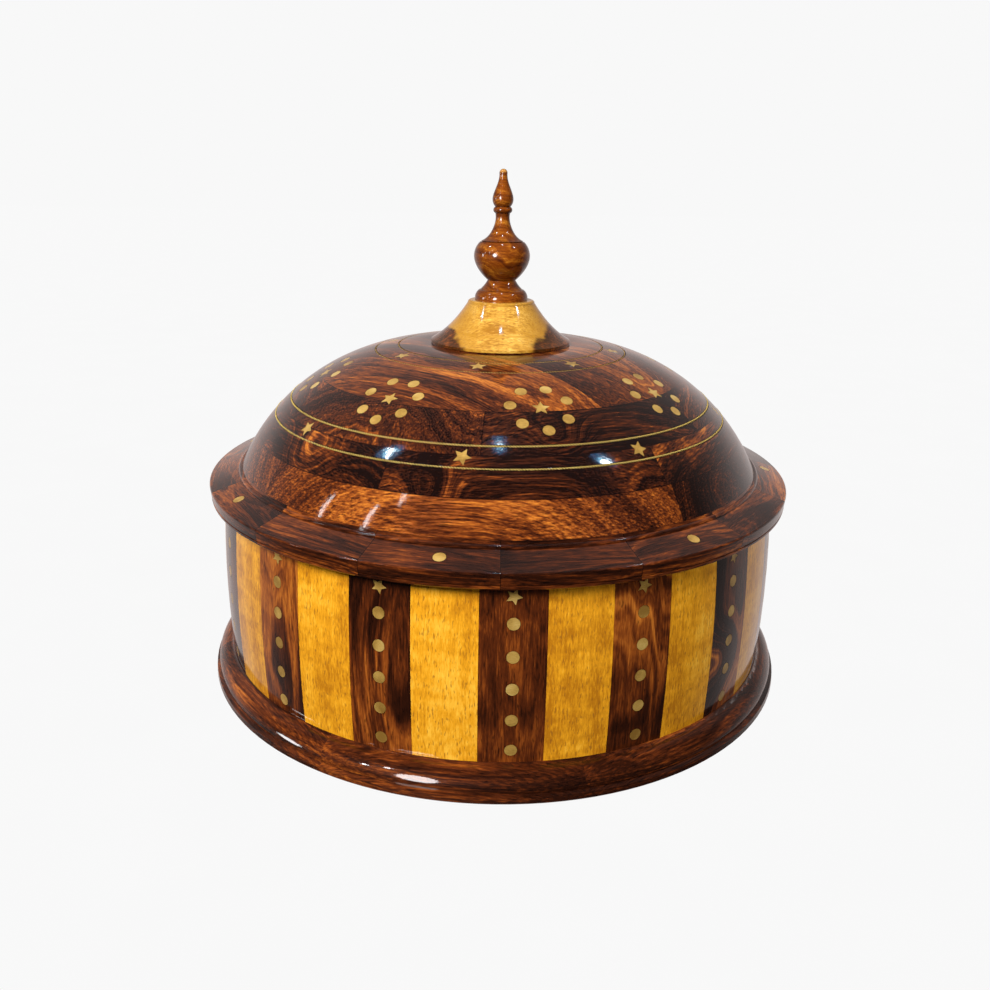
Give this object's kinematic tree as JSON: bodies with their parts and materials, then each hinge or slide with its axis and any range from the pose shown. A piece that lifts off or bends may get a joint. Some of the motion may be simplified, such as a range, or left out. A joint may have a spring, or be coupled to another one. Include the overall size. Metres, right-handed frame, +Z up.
{
  "type": "spice box (masala dabba)",
  "caption": "Round coopered wooden spice box with a domed, brass-inlaid lid, a turned finial and lift-out steel cups.",
  "frame": {"origin": "centre of the underside of the base", "axes": "+Z up along the box's turning axis, -Y is the front, +X to the right seen from the front"},
  "size_m": [0.2608, 0.2608, 0.2156],
  "materials": {
    "dark_wood": "gloss lacquer",
    "light_wood": "gloss lacquer",
    "finial_wood": "gloss lacquer",
    "floor_wood": "satin",
    "brass": "sanded flush, lacquered",
    "steel": "satin"
  },
  "bodies": {
    "box": {"floor_board": "floor_wood", "base_ring": "dark_wood", "light_staves": "light_wood", "dark_staves": "dark_wood", "stave_stars": "brass", "stave_dots": "brass"},
    "lid": {"lid_spigot": "dark_wood", "lid_rim": "dark_wood", "dome_course_1": "dark_wood", "dome_course_2": "dark_wood", "dome_course_3": "dark_wood", "dome_crown": "dark_wood", "knob_disc": "dark_wood", "knob_cone": "light_wood", "knob_finial": "finial_wood", "rim_dots": "brass", "cluster_dots": "brass", "cluster_stars": "brass", "band_stars": "brass", "crown_stars": "brass", "band_wire_outer": "brass", "band_wire_inner": "brass", "crown_wire_outer": "brass", "crown_wire_inner": "brass"},
    "cup_centre": {"cup_centre": "steel"},
    "cup_1": {"cup_1": "steel"},
    "cup_2": {"cup_2": "steel"},
    "cup_3": {"cup_3": "steel"},
    "cup_4": {"cup_4": "steel"},
    "cup_5": {"cup_5": "steel"},
    "cup_6": {"cup_6": "steel"}
  },
  "joints": [
    {"name": "lid_lift", "type": "slide", "parent": "box", "child": "lid", "axis": [0, 0, 1], "range_m": [0, 0.12]},
    {"name": "cup_centre_lift", "type": "slide", "parent": "box", "child": "cup_centre", "axis": [0, 0, 1], "range_m": [0, 0.035]},
    {"name": "cup_1_lift", "type": "slide", "parent": "box", "child": "cup_1", "axis": [0, 0, 1], "range_m": [0, 0.035]},
    {"name": "cup_2_lift", "type": "slide", "parent": "box", "child": "cup_2", "axis": [0, 0, 1], "range_m": [0, 0.035]},
    {"name": "cup_3_lift", "type": "slide", "parent": "box", "child": "cup_3", "axis": [0, 0, 1], "range_m": [0, 0.035]},
    {"name": "cup_4_lift", "type": "slide", "parent": "box", "child": "cup_4", "axis": [0, 0, 1], "range_m": [0, 0.035]},
    {"name": "cup_5_lift", "type": "slide", "parent": "box", "child": "cup_5", "axis": [0, 0, 1], "range_m": [0, 0.035]},
    {"name": "cup_6_lift", "type": "slide", "parent": "box", "child": "cup_6", "axis": [0, 0, 1], "range_m": [0, 0.035]}
  ]
}
